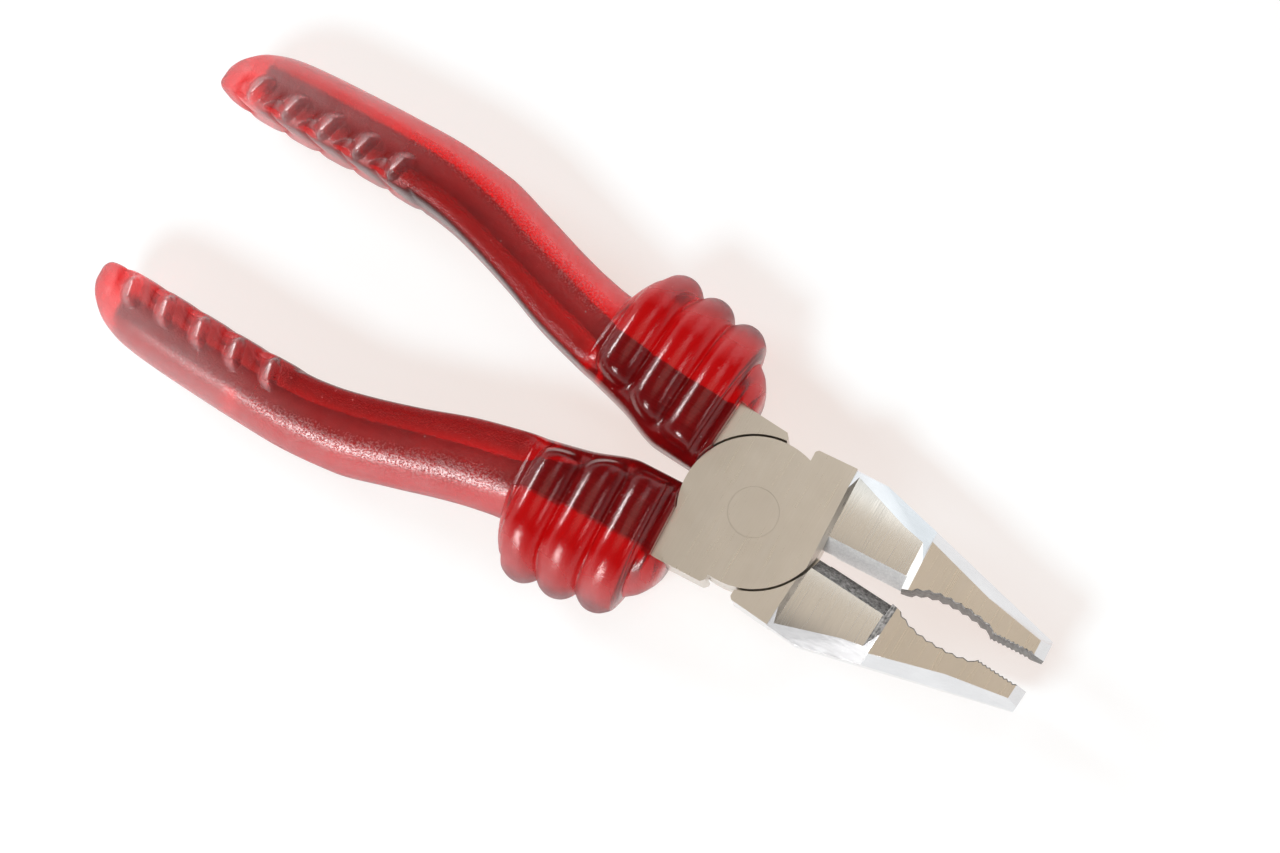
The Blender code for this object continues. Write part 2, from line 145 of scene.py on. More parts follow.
def highest(tree, first, *others):
    """The highest of the values."""
    for other in others:
        first = calculate(tree, "MAXIMUM", first, other)
    return first


def spread(tree, source, low, high, start=0.3, end=0.7, smooth=False):
    """A value that goes from low to high while its source goes from start to end."""
    settings = {"interpolation_type": "SMOOTHSTEP"} if smooth else None
    made = add(tree, "MapRange", settings, Value=source, From_Min=start, From_Max=end, To_Min=low,
               To_Max=high)
    return made.outputs[0]


def between(tree, share, first, second):
    """Two colours, each a socket or a plain colour, mixed by a share from 0 to 1."""
    made = add(tree, "Mix", {"data_type": "RGBA"})
    give(tree, share, made.inputs[0])
    for number, colour in ((MIX_FIRST, first), (MIX_SECOND, second)):
        is_socket = isinstance(colour, bpy.types.NodeSocket)
        give(tree, colour if is_socket else (*colour, 1.0), made.inputs[number])
    return made.outputs[MIX_RESULT]


# %% [markdown]
# ## Table and light
# The tool lies on a white table. More lamps could make it white, but they would bleach the steel as well.
# So the table glows a little by itself, for what the camera, the metal and the clear vinyl see of it, and
# its own colour takes the light and the shadow. The glow is warm and the colour is cool: together they are
# white, and a shadow turns warm. The table is small, so that a view from low down ends in the white room
# behind it.

# %% Table
RIBS_PROUD = 0.42 * MM
TABLE_Z = min(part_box(name)[0].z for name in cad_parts) - RIBS_PROUD
TABLE_HALF = 0.6


def mesh_from(bm, name):
    """A mesh made from a bmesh, which is then freed."""
    made = bpy.data.meshes.new(name)
    bm.to_mesh(made)
    bm.free()
    return made


bm = bmesh.new()
bmesh.ops.create_grid(bm, x_segments=1, y_segments=1, size=TABLE_HALF,
                      matrix=Matrix.Translation((0, 0, TABLE_Z)))
table = in_scene("table", mesh_from(bm, "table"))
print("table at z", round(TABLE_Z / MM, 2), "mm")

# %% Table finish
TABLE_COLOUR = (0.29, 0.43, 0.487, 1.0)
TABLE_ROUGHNESS = 0.9
TABLE_GLOW = 0.74
TABLE_GLOW_COLOUR = (1.0, 0.82, 0.745, 1.0)

paper, tree, shader = blank_material("white_table")
rays = add(tree, "LightPath").outputs
seen = highest(tree, rays["Is Camera Ray"], rays["Is Glossy Ray"])
dress(tree, shader, {
    "Base Color": TABLE_COLOUR,
    "Roughness": TABLE_ROUGHNESS,
    "Specular IOR Level": 0.0,
    "Emission Color": TABLE_GLOW_COLOUR,
    "Emission Strength": highest(tree, product(tree, seen, TABLE_GLOW), rays["Is Transmission Ray"]),
})
table.data.materials.append(paper)
print("table glows at", TABLE_GLOW)

# %% [markdown]
# The room has no walls of its own, only a colour for each direction. It is bright low down, where the
# polished bevels look, and dark above, so that the vinyl stays deep and clear. One warm patch of the
# ceiling is what the level ground faces mirror, and it gives them their grey.

# %% Room
ROOM_STEPS = (
    (0.0, (1.0, 1.0, 0.99, 1.0)),
    (0.28, (0.92, 0.92, 0.92, 1.0)),
    (0.54, (0.06, 0.057, 0.055, 1.0)),
)
ROOF_LIGHT = (0.91, 0.815, 0.69)
ROOF_LIGHT_SIDE = Vector((0.02, 0.10, 0.99)).normalized()
ROOF_LIGHT_EDGE = (0.942, 0.986)
PURE_WHITE = (1.0, 1.0, 1.0, 1.0)

world = bpy.data.worlds.new("white_room")
world.use_nodes = True
bpy.context.scene.world = world
tree = world.node_tree
tree.nodes.clear()
direction = add(tree, "TexCoord").outputs["Generated"]
walls = add(tree, "ValToRGB", Fac=add(tree, "SeparateXYZ", Vector=direction).outputs["Z"])
steps = walls.color_ramp.elements
steps.new(0.5)
for step, (height, colour) in zip(steps, ROOM_STEPS):
    step.position = height
    step.color = colour
near_patch = add(tree, "VectorMath", {"operation": "DOT_PRODUCT"})
give(tree, direction, near_patch.inputs[0])
give(tree, ROOF_LIGHT_SIDE, near_patch.inputs[1])
in_patch = spread(tree, near_patch.outputs["Value"], 0.0, 1.0, *ROOF_LIGHT_EDGE, smooth=True)
print("room has", len(steps), "steps from horizon to ceiling")

# %% Room for the camera
room = add(tree, "Background", Color=between(tree, in_patch, walls.outputs["Color"], ROOF_LIGHT))
backdrop = add(tree, "Background", Color=PURE_WHITE, Strength=1.0)
choose = add(tree, "MixShader", Fac=add(tree, "LightPath").outputs["Is Camera Ray"])
give(tree, room.outputs[0], choose.inputs[1])
give(tree, backdrop.outputs[0], choose.inputs[2])
add(tree, "OutputWorld", Surface=choose.outputs[0])
print("room nodes:", len(tree.nodes))

# %% [markdown]
# Six soft windows light the tool. The left and right ones draw the crisp lines along the ribs, the front
# one draws the long highlight on a sleeve, the two at the back make the cool side of the jaws, and the low
# front one fills. A window is placed by the direction it shines from, and its brightness is set per area,
# so its size can change without its look.

# %% Windows
WINDOW_DISTANCE = 1.0
WHITE = (1.0, 1.0, 1.0)
COOL = (0.88, 0.96, 1.0)
WINDOWS = {
    "left_window": ((-0.88, 0.06, 0.47), (0.30, 0.12), 32.0, WHITE),
    "front_window": ((-0.16, -0.65, 0.75), (0.34, 0.22), 26.0, WHITE),
    "right_window": ((0.68, 0.05, 0.73), (0.30, 0.12), 5.0, WHITE),
    "back_roof": ((0.03, 0.40, 0.91), (0.26, 0.30), 1.7, COOL),
    "back_wall": ((0.16, 0.80, 0.57), (0.60, 0.50), 1.0, COOL),
    "front_wall": ((0.10, -0.80, 0.60), (0.90, 0.40), 0.6, WHITE),
}


def window(name, toward, size, brightness, colour):
    """A soft rectangular lamp in a direction from the tool, with its brightness per area."""
    lamp = bpy.data.lights.new(name, "AREA")
    lamp.shape = "RECTANGLE"
    lamp.size, lamp.size_y = size
    lamp.energy = brightness * math.pi * size[0] * size[1]
    lamp.color = colour
    made = in_scene(name, lamp)
    made.location = Vector(toward).normalized() * WINDOW_DISTANCE
    made.rotation_euler = (-made.location).to_track_quat("-Z", "Y").to_euler()


for name, values in WINDOWS.items():
    window(name, *values)
bpy.context.scene.view_settings.view_transform = "Standard"
print("windows:", [lamp.name for lamp in bpy.data.lights])

# %% [markdown]
# ## One half, used twice
# Both levers are the same forging, one of them turned over. So each piece is shaped once, in the frame of a
# closed half with its jaw at +y and its handle at -y, and then carried to its two places. The middle of the
# head is read from the frame. At rest each half is swung open by the same small angle.

# %% Places of the halves
rivet_low, rivet_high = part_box("pivot_rivet")
HEAD_MIDDLE = (rivet_low.z + rivet_high.z) / 2
HALF_OPENING = math.radians(3.0)
TO_HEAD = Matrix.Translation((0, 0, HEAD_MIDDLE))
TURNED_OVER = Matrix.Rotation(math.pi, 4, "X")
HALF_PLACES = {
    "top": TO_HEAD @ Matrix.Rotation(HALF_OPENING, 4, "Z"),
    "bottom": TO_HEAD @ Matrix.Rotation(-HALF_OPENING, 4, "Z") @ TURNED_OVER,
}


def show(name, mesh, body, node):
    """Puts a finished mesh in the scene as the piece that stands for one node of the frame."""
    piece = in_scene(name, mesh)
    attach(piece, body)
    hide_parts(node)
    print(name, "has", len(mesh.polygons), "faces")
    return piece


print("head middle at z", round(HEAD_MIDDLE / MM, 2), "mm")

# %% [markdown]
# ## Shared effects
# Ground metal has fine lines, forged and moulded skins have grain, and clear vinyl carries a few specks.
# Each effect is a node group, built once, that gives one value over the surface. The material decides what
# the value does: a colour shift, a change of roughness or a bump.

# %% Lines and grain
PER_MM = 1 / MM


def effect_group(name, settings):
    """An empty group with a Vector input, one input for each setting, and one Value output."""
    group = bpy.data.node_groups.new(name, "ShaderNodeTree")
    group.interface.new_socket("Vector", in_out="INPUT", socket_type="NodeSocketVector")
    for title, value in settings.items():
        socket = group.interface.new_socket(title, in_out="INPUT", socket_type="NodeSocketFloat")
        socket.default_value = value
    group.interface.new_socket("Value", in_out="OUTPUT", socket_type="NodeSocketFloat")
    given = group.nodes.new("NodeGroupInput").outputs
    value = group.nodes.new("NodeGroupOutput").inputs["Value"]
    return group, given, value


def ground_lines_group():
    """Grinding lines along the vector's x: a noise drawn out along one axis and squeezed across it."""
    group, given, value = effect_group("ground_lines", {"Length": 12.0, "Width": 0.25})
    parts = add(group, "SeparateXYZ", Vector=given["Vector"]).outputs
    along = calculate(group, "DIVIDE", parts["X"], given["Length"])
    across, up = (calculate(group, "DIVIDE", parts[axis], given["Width"]) for axis in "YZ")
    drawn = add(group, "CombineXYZ", X=along, Y=across, Z=up).outputs[0]
    noise = add(group, "TexNoise", Vector=drawn, Scale=PER_MM, Detail=4.0, Roughness=0.65)
    give(group, noise.outputs["Fac"], value)
    return group


def grain_group():
    """Even grain of a given size in millimetres."""
    group, given, value = effect_group("skin_grain", {"Size": 0.4})
    scale = calculate(group, "DIVIDE", PER_MM, given["Size"])
    noise = add(group, "TexNoise", Vector=given["Vector"], Scale=scale, Detail=2.0, Roughness=0.55)
    give(group, noise.outputs["Fac"], value)
    return group


EFFECTS = {group.name: group for group in (ground_lines_group(), grain_group())}
print("effect groups:", sorted(EFFECTS))


# %% Specks
def specks_group():
    """Sparse round specks: Voronoi cells of a given size, of which only a share holds a dot."""
    group, given, value = effect_group("specks", {"Size": 2.0, "Share": 0.2, "Dot": 0.12})
    scale = calculate(group, "DIVIDE", PER_MM, given["Size"])
    cells = add(group, "TexVoronoi", Vector=given["Vector"], Scale=scale).outputs
    chance = add(group, "SeparateXYZ", Vector=cells["Color"]).outputs["X"]
    held = calculate(group, "LESS_THAN", chance, given["Share"])
    dot = spread(group, cells["Distance"], 1.0, 0.0, 0.0, given["Dot"], smooth=True)
    give(group, product(group, held, dot), value)
    return group


EFFECTS["specks"] = specks_group()
print("effect groups:", sorted(EFFECTS))


# %% Effects in a material
def effect(tree, name, vector, **settings):
    """Places an effect group in a material and gives its value."""
    made = tree.nodes.new("ShaderNodeGroup")
    made.node_tree = EFFECTS[name]
    give(tree, vector, made.inputs["Vector"])
    for title, value in settings.items():
        made.inputs[title].default_value = value
    return made.outputs["Value"]


def bumped(tree, height, depth, strength, under=None):
    """The normal of a bump of a depth in millimetres, on top of another normal."""
    made = add(tree, "Bump", Strength=strength, Distance=depth * MM, Height=height)
    if under is not None:
        give(tree, under, made.inputs["Normal"])
    return made.outputs[0]


# %% [markdown]
# ## Steel levers
# The frame's lever has the right planes, but every edge is as sharp as a drawing. A subdivision surface
# would soften all of it. So a copy is merged, its flat triangles are joined into whole faces, and each long
# edge gets a small round, as a grinder leaves it. The rims of the teeth are broken with one plain bevel.
# The rivet's hole keeps its fit and the hidden tang its size, so those edges stay out.

# %% Lever shape
EDGE_ROUND = 0.16 * MM
TOOTH_BREAK = 0.28 * MM
MERGE = 0.02 * MM
FLAT_ANGLE = math.radians(1)
SHARP_ANGLE = math.radians(24)
TEETH_FROM_X = 29.6 * MM
TEETH_REACH_Y = 3.6 * MM
RIVET_HOLE = 5.0 * MM
SLEEVE_FRONT = -12.4 * MM
RIM_LEVEL = 0.9
RIM_STEEP = 0.5


def is_toothed(point):
    return point.x > TEETH_FROM_X and point.y < TEETH_REACH_Y


def keeps_edge(point):
    return is_toothed(point) or point.xy.length < RIVET_HOLE or point.x < SLEEVE_FRONT


def is_long_edge(edge):
    return (edge.is_manifold and edge.calc_face_angle() > SHARP_ANGLE
            and not any(keeps_edge(vert.co) for vert in edge.verts))


def is_tooth_rim(edge):
    """Whether an edge lies between the level face of a jaw and the steep face of a tooth."""
    if not edge.is_manifold or not all(is_toothed(vert.co) for vert in edge.verts):
        return False
    steep, level = sorted(abs(face.normal.z) for face in edge.link_faces)
    return level > RIM_LEVEL and steep < RIM_STEEP


def break_edges(bm, test, size, segments):
    edges = [edge for edge in bm.edges if test(edge)]
    bmesh.ops.bevel(bm, geom=edges, offset=size, offset_type="OFFSET", affect="EDGES", segments=segments,
                    profile=0.5, clamp_overlap=True, material=-1)


def lever_bmesh(node, place):
    """A copy of a frame's lever with its edges broken, carried back to the closed half."""
    bm = bmesh.new()
    bm.from_mesh(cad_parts[node].data)
    bmesh.ops.remove_doubles(bm, verts=bm.verts, dist=MERGE)
    bmesh.ops.transform(bm, matrix=place.inverted(), verts=bm.verts)
    bmesh.ops.dissolve_limit(bm, angle_limit=FLAT_ANGLE, verts=bm.verts, edges=bm.edges)
    break_edges(bm, is_long_edge, EDGE_ROUND, 2)
    break_edges(bm, is_tooth_rim, TOOTH_BREAK, 1)
    return bm


levers = {side: lever_bmesh(side + "_lever", place) for side, place in HALF_PLACES.items()}
print("lever faces:", {side: len(bm.faces) for side, bm in levers.items()})

# %% [markdown]
# ## Steel finishes
# All the steel is one alloy, so the finishes differ only in their skin. The plates are ground in one
# direction, the noses have a warmer straw tint, the cutter flats are ground slightly crowned, and the outer
# bevels and tips are polished. The cutter bevels on one face of each half are painted nearly white as
# light on a rough honed face, and those on the other face, with the teeth, are painted dark as shade, so
# one jaw shows a lit bevel and the other a shaded one. The tang inside the sleeve is a raw forging.
# Finishes could be painted on by hand, but a face's place and direction already tell which one it has.

# %% Faces and their finishes
STEEL_FINISHES = ("ground", "nose", "cutter_flat", "polished", "painted_lit_bevel", "painted_shade_teeth_and_bevel", "raw")
PLATE_END = 12.4 * MM
TIP_FROM_X = 52.7 * MM
CUTTER_FLAT_TOP = 4.2 * MM
LEANS = 0.3
STEEP = 0.5
NEARLY_LEVEL = 0.92
LEVEL = 0.98


def finish_of(face):
    """Which steel finish a face has, from where it lies on the closed half and which way it looks."""
    centre = face.calc_center_median()
    normal = face.normal
    # Cutter bevels get painted light on the z>0 face of the half and painted shade on the other face, so the
    # two jaws show lit and shaded copies.
    painted_bevel_finish = "painted_lit_bevel" if centre.z > 0 else "painted_shade_teeth_and_bevel"
    if centre.x < SLEEVE_FRONT:
        return "raw"
    if centre.x <= PLATE_END:
        return "ground"
    if centre.x > TIP_FROM_X and normal.x > LEANS:
        return "polished"
    if is_toothed(centre) and abs(normal.z) < NEARLY_LEVEL:
        return "painted_shade_teeth_and_bevel"
    if normal.x < -LEANS:
        return painted_bevel_finish
    if normal.y > LEANS:
        return "polished"
    if abs(normal.z) > LEVEL and abs(centre.z) < CUTTER_FLAT_TOP:
        return "cutter_flat"
    if normal.y < -STEEP:
        return painted_bevel_finish
    return "nose" if centre.x > TEETH_FROM_X else "ground"


for bm in levers.values():
    for face in bm.faces:
        face.material_index = STEEL_FINISHES.index(finish_of(face))
        face.smooth = True
    counts = np.bincount([face.material_index for face in bm.faces], minlength=len(STEEL_FINISHES))
    print("faces by finish:", dict(zip(STEEL_FINISHES, counts.tolist())))

# %% Crown of the cutter flats
CROWN_MIDDLE = 7.4 * MM
CROWN_RADIUS = 50.0 * MM


def crown(tree, spot):
    """The normal of a slight crown across the jaw, which falls off evenly to both sides of its middle."""
    parts = add(tree, "SeparateXYZ", Vector=spot).outputs
    off = calculate(tree, "SUBTRACT", calculate(tree, "ABSOLUTE", parts["Y"]), CROWN_MIDDLE)
    height = product(tree, off, off, -1 / (2 * CROWN_RADIUS * MM))
    return bumped(tree, height, 1.0, 1.0)


# %% Steel skin
LINES_ACROSS = math.pi / 2
LINE_LENGTH = 14.0
LINE_WIDTH = 0.22
LINE_DEPTH = 0.02
GRAIN_DEPTH = 0.05
TONE_RANGE = (0.75, 1.25)
SMOOTHER = 0.05
ROUGHER = 0.06


def steel_material(name, dark, light, roughness, turn=LINES_ACROSS, lines=0.05, grain=0.03, grain_size=0.3,
                   clouds_size=6.0, crowned=False):
    """Steel whose lines, clouds and grain shift its colour, its roughness and its normal."""
    made, tree, shader = blank_material(name)
    spot = add(tree, "TexCoord").outputs["Object"]
    turned = add(tree, "Mapping", Vector=spot, Rotation=(0, 0, turn)).outputs[0]
    line = effect(tree, "ground_lines", turned, Length=LINE_LENGTH, Width=LINE_WIDTH)
    cloud = effect(tree, "skin_grain", spot, Size=clouds_size)
    fine = effect(tree, "skin_grain", spot, Size=grain_size)
    tone = spread(tree, calculate(tree, "ADD", line, cloud), 0.0, 1.0, *TONE_RANGE)
    under = crown(tree, spot) if crowned else None
    lined = bumped(tree, line, LINE_DEPTH, lines, under)
    dress(tree, shader, {
        "Metallic": 1.0,
        "Base Color": between(tree, tone, dark, light),
        "Roughness": spread(tree, line, roughness - SMOOTHER, roughness + ROUGHER),
        "Normal": bumped(tree, fine, GRAIN_DEPTH, grain, lined),
    })
    return made


# %% The seven finishes
STEELS = {
    "ground": steel_material("ground_steel", (0.665, 0.61, 0.545), (0.715, 0.66, 0.595), 0.31),
    "nose": steel_material("straw_steel", (0.635, 0.565, 0.485), (0.675, 0.60, 0.52), 0.30),
    "cutter_flat": steel_material("crowned_steel", (0.645, 0.615, 0.58), (0.675, 0.645, 0.61), 0.24,
                                  lines=0.01, grain=0.01, crowned=True),
    "polished": steel_material("polished_steel", (0.74, 0.735, 0.745), (0.81, 0.805, 0.815), 0.20,
                               turn=0.0, lines=0.06, grain_size=0.4),
    # Painted light and shade: the honed bevel is nearly white, the teeth and the other bevel nearly black.
    "painted_lit_bevel": steel_material("honed_steel_painted_light", (0.86, 0.86, 0.865), (1.0, 1.0, 1.0), 0.60,
                                    lines=0.3, grain=0.7, clouds_size=0.5),
    "painted_shade_teeth_and_bevel": steel_material("dark_steel_painted_shade", (0.04, 0.04, 0.04), (0.38, 0.37, 0.36), 0.46,
                              lines=0.6, grain=1.0, grain_size=0.4, clouds_size=0.65),
    "raw": steel_material("raw_forging", (0.14, 0.12, 0.115), (0.27, 0.24, 0.23), 0.55,
                          turn=0.0, lines=0.1, grain=0.5, grain_size=0.6),
}
print("steel finishes:", [material.name for material in STEELS.values()])

# %% Levers in place
STEEL_SMOOTH_ANGLE = math.radians(26)

for side, place in HALF_PLACES.items():
    bm = levers[side]
    bmesh.ops.transform(bm, matrix=place, verts=bm.verts)
    mesh = mesh_from(bm, side + "_lever_steel")
    mesh.set_sharp_from_angle(angle=STEEL_SMOOTH_ANGLE)
    for finish in STEEL_FINISHES:
        mesh.materials.append(STEELS[finish])
    piece = show(side + "_lever_steel", mesh, side + "_half", side + "_lever")
    shading = piece.modifiers.new("even_shading", "WEIGHTED_NORMAL")
    shading.keep_sharp = True

# %% [markdown]
# ## Rivet
# The rivet is ground flush with the plate, so only a hairline ring shows. A cylinder would do for that
# ring, but the real one has sunk heads. It is turned by spinning its half profile about the pivot's axis, a
# little wider than the frame's rivet so that it fills its hole.

# %% Rivet shape
RIVET_STEPS = 96
RIVET_HEAD = 4.41 * MM
RIVET_SHANK = 3.58 * MM
RIVET_SINK = 1.2 * MM
RIVET_MERGE = MERGE / 10
SMOOTH_ANGLE = math.radians(40)


def rivet_bmesh():
    half = (rivet_high.z - rivet_low.z) / 2
    profile = [(0, half), (RIVET_HEAD, half), (RIVET_SHANK, half - RIVET_SINK)]
    profile += [(radius, -z) for radius, z in reversed(profile)]
    bm = bmesh.new()
    verts = [bm.verts.new((radius, 0, HEAD_MIDDLE + z)) for radius, z in profile]
    edges = [bm.edges.new(pair) for pair in zip(verts, verts[1:])]
    bmesh.ops.spin(bm, geom=verts + edges, axis=(0, 0, 1), cent=(0, 0, 0), angle=2 * math.pi,
                   steps=RIVET_STEPS, use_merge=True)
    bmesh.ops.remove_doubles(bm, verts=bm.verts, dist=RIVET_MERGE)
    bmesh.ops.recalc_face_normals(bm, faces=bm.faces)
    return bm


rivet_mesh = mesh_from(rivet_bmesh(), "flush_rivet")
rivet_mesh.materials.append(STEELS["ground"])
rivet_mesh.shade_smooth()
rivet_mesh.set_sharp_from_angle(angle=SMOOTH_ANGLE)
show("flush_rivet", rivet_mesh, "top_half", "pivot_rivet")

# %% [markdown]
# ## Sleeves
# A sleeve is a loft of many sections along the handle. The section is flat on the side of the palm gap and
# round outside. Its edges follow curves through a few measured points, in millimetres. On that base
# surface, ribs and finger ridges rise along the surface's own normal, as they would if they were pressed
# out of soft clay. They could be sculpted, but as formulas they keep their pitch and their size.

# %% Smooth curves
def smooth_curve(points):
    """A curve through (x, value) points that never overshoots, for single numbers and arrays of x."""
    xs, ys = np.array(points, float).T
    slopes = np.diff(ys) / np.diff(xs)
    before, after = slopes[:-1], slopes[1:]
    total = np.where(before * after > 0, before + after, 1.0)
    inside = np.where(before * after > 0, 2 * before * after / total, 0.0)
    tangents = np.concatenate([slopes[:1], inside, slopes[-1:]])

    def value(x):
        x = np.clip(x, xs[0], xs[-1])
        i = np.clip(np.searchsorted(xs, x, side="right") - 1, 0, len(xs) - 2)
        span = xs[i + 1] - xs[i]
        t = (x - xs[i]) / span
        rise = t * t * (3 - 2 * t)
        lead = span * tangents[i] * t * (1 - t) ** 2
        trail = span * tangents[i + 1] * t * t * (t - 1)
        return ys[i] * (1 - rise) + ys[i + 1] * rise + lead + trail

    return value


def ease(value, low, high):
    """0 below low, 1 above high, and a soft step between."""
    t = np.clip((value - low) / (high - low), 0, 1)
    return t * t * (3 - 2 * t)


# %% Sleeve outline
inner_edge = smooth_curve((
    (-125.1, 14.9), (-124.9, 13.9), (-124.2, 12.8), (-122.6, 12.0), (-120.5, 11.9), (-110.0, 12.4),
    (-100.0, 13.1), (-90.0, 13.7), (-80.0, 13.9), (-75.0, 13.5), (-70.0, 12.6), (-60.0, 10.1),
    (-50.0, 7.1), (-40.0, 5.0), (-30.0, 3.0), (-21.0, 0.6), (-9.6, 0.6)))
outer_edge = smooth_curve((
    (-125.1, 15.4), (-124.9, 16.4), (-124.2, 17.8), (-122.6, 19.8), (-119.5, 22.3), (-115.0, 24.1),
    (-110.0, 25.0), (-100.0, 26.1), (-90.0, 26.95), (-80.0, 27.5), (-70.0, 27.0), (-60.0, 24.8),
    (-50.0, 22.3), (-45.0, 21.3), (-39.0, 20.6), (-38.5, 22.0), (-38.0, 23.4), (-37.0, 25.2),
    (-36.0, 26.3), (-34.0, 27.0), (-31.0, 27.1), (-27.8, 27.0), (-24.0, 26.5), (-21.0, 26.0),
    (-18.0, 25.7), (-16.0, 25.2), (-15.0, 24.2), (-14.0, 22.6), (-13.0, 21.3), (-12.0, 20.4),
    (-11.0, 19.7), (-10.2, 19.0), (-9.6, 17.6)))
half_height = smooth_curve((
    (-125.1, 0.6), (-124.4, 2.6), (-122.7, 4.8), (-119.1, 6.6), (-109.1, 7.4), (-39.0, 7.4),
    (-38.6, 7.65), (-37.5, 7.95), (-35.0, 8.3), (-29.7, 8.4), (-21.7, 8.4), (-16.5, 8.1),
    (-14.9, 7.5), (-12.6, 7.4), (-9.6, 7.0)))
SLEEVE_NOSE = -9.6
STATION_RUNS = ((-125.1, -124.0, 16), (-124.0, -121.0, 14), (-121.0, -80.0, 165), (-80.0, -40.0, 38),
                (-40.0, SLEEVE_NOSE, 190))


def stations():
    """Where the sections lie along the handle: close together where the surface has detail."""
    xs = [np.linspace(start, end, count, endpoint=False) for start, end, count in STATION_RUNS]
    return np.concatenate(xs + [[SLEEVE_NOSE]])


print("sleeve has", len(stations()), "sections")

# %% Sleeve base surface
RING = 160
SECTION_STEPS = 721
OUTER_ROUND = 2.35
HANDLE_FLAT = 7.0
COLLAR_FLAT = 3.6
COLLAR_BACK = (-41.0, -37.6)


def section(x):
    """One cross section at x: distances from the centre line and heights, evenly spread round the ring."""
    inner, outer, half = inner_edge(x), outer_edge(x), half_height(x)
    angles = np.linspace(0, 2 * np.pi, SECTION_STEPS)
    cosine, sine = np.cos(angles), np.sin(angles)
    flat = HANDLE_FLAT + (COLLAR_FLAT - HANDLE_FLAT) * ease(x, *COLLAR_BACK)
    power = np.where(cosine > 0, 2 / OUTER_ROUND, 2 / flat)
    across = np.sign(cosine) * np.abs(cosine) ** power
    up = np.sign(sine) * np.abs(sine) ** power
    away = (inner + outer) / 2 + (outer - inner) / 2 * across
    high = half * up
    lengths = np.concatenate([[0], np.cumsum(np.hypot(np.diff(away), np.diff(high)))])
    spots = np.linspace(0, lengths[-1], RING, endpoint=False)
    return np.interp(spots, lengths, away), np.interp(spots, lengths, high)


def base_surface():
    """Points of the bare sleeve, as a grid of stations by ring places."""
    xs = stations()
    rings = [section(x) for x in xs]
    away = np.array([ring[0] for ring in rings])
    high = np.array([ring[1] for ring in rings])
    along = np.repeat(xs[:, None], RING, axis=1)
    return np.stack([along, -away, high], axis=2)


def outward(points):
    """Unit normals of the grid, pointing out of the sleeve."""
    along = np.gradient(points, axis=0)
    wrapped = np.concatenate([points[:, -1:], points, points[:, :1]], axis=1)
    round_ring = (wrapped[:, 2:] - wrapped[:, :-2]) / 2
    normals = np.cross(along, round_ring)
    lengths = np.linalg.norm(normals, axis=2, keepdims=True)
    return normals / np.maximum(lengths, 1e-9)


bare = base_surface()
bare_normals = outward(bare)
print("bare sleeve:", bare.shape[0], "rings of", bare.shape[1], "points")

# %% Ribs of the collar
RIBS = ((-33.6, -32.2), (-25.7, -25.0), (-17.6, -17.9))
RIB_PITCH = 7.15
RIB_REACH = 2.05
RIB_ARCH = 2.2
RIB_RISE = 1.9
RIB_TOP_HALF = 3.9
RIB_END = 4.6
LIP = -12.6
LIP_TOP_HALF = 2.0
LIP_SIDE_HALF = 2.7
LIP_RISE = 0.8
LIP_ARCH = 0.85
OUTER_SIDE = (0.3, 0.9)
PALM_SIDE = (-0.75, -0.3)


def hump(away_from_crest):
    """A smooth ridge, 1 on its crest and 0 from 1 outwards."""
    return (0.5 + 0.5 * np.cos(np.pi * np.clip(away_from_crest, 0, 1))) ** LIP_ARCH


def ribs(points, normals):
    """Height of the three ribs and the lip: round lobes outside, ridges on top that stop short inside."""
    x, away = points[..., 0], -points[..., 1]
    side_share = ease(-normals[..., 1], *OUTER_SIDE)
    top_share = ease(-normals[..., 1], *PALM_SIDE)
    height = np.zeros_like(x)
    for top, side in RIBS:
        crest = top + (side - top) * side_share
        lobe = 1 - np.clip(np.abs(x - crest) / (RIB_PITCH / 2), 0, 1) ** RIB_ARCH
        runs_out = (top, side) == RIBS[-1]
        end = 0.0 if runs_out else np.maximum(0.0, inner_edge(x) + RIB_END - away)
        ridge = (1 - np.clip(np.hypot(x - crest, end) / RIB_TOP_HALF, 0, 1) ** RIB_ARCH) * top_share
        height = np.maximum(height, RIB_REACH * lobe * side_share + RIB_RISE * ridge * (1 - side_share))
    lip_half = LIP_TOP_HALF + (LIP_SIDE_HALF - LIP_TOP_HALF) * side_share
    return np.maximum(height, LIP_RISE * hump(np.abs(x - LIP) / lip_half) * top_share)


rib_height = ribs(bare, bare_normals)
print("ribs rise by up to", round(float(rib_height.max()), 2), "mm")

# %% Finger ridges
RIDGE_ROOTS = (-116.2, -108.8, -101.4, -94.0, -86.6)
RIDGE_PITCH = 7.4
RIDGE_LENGTH = 6.2
RIDGE_HALF = 1.6
RIDGE_BACK = 2.5
RIDGE_FRONT = 1.2
RIDGE_START = 0.4
RIDGE_RISE = 1.5
RIDGE_ARCH = 1.5
RIDGE_LEAN = 0.24
FLANK_LEAN = 0.42
FLANK_RISE = 0.5
FLANK_FLAT = 4.0
HOLLOW_BEHIND = 2.7
HOLLOW_HALF = 2.2
HOLLOW_LENGTH = 3.2
HOLLOW_DEPTH = 1.0
BACK_FACE = (-0.6, 0.2)
TOP_FACE = (0.4, 0.8)
FLANK_FACE = (0.2, 0.7)
FINGERS_START = (-121.0, -118.5)
FINGERS_END = (-82.5, -80.5)
TIP_FADE = (-121.0, -117.5)


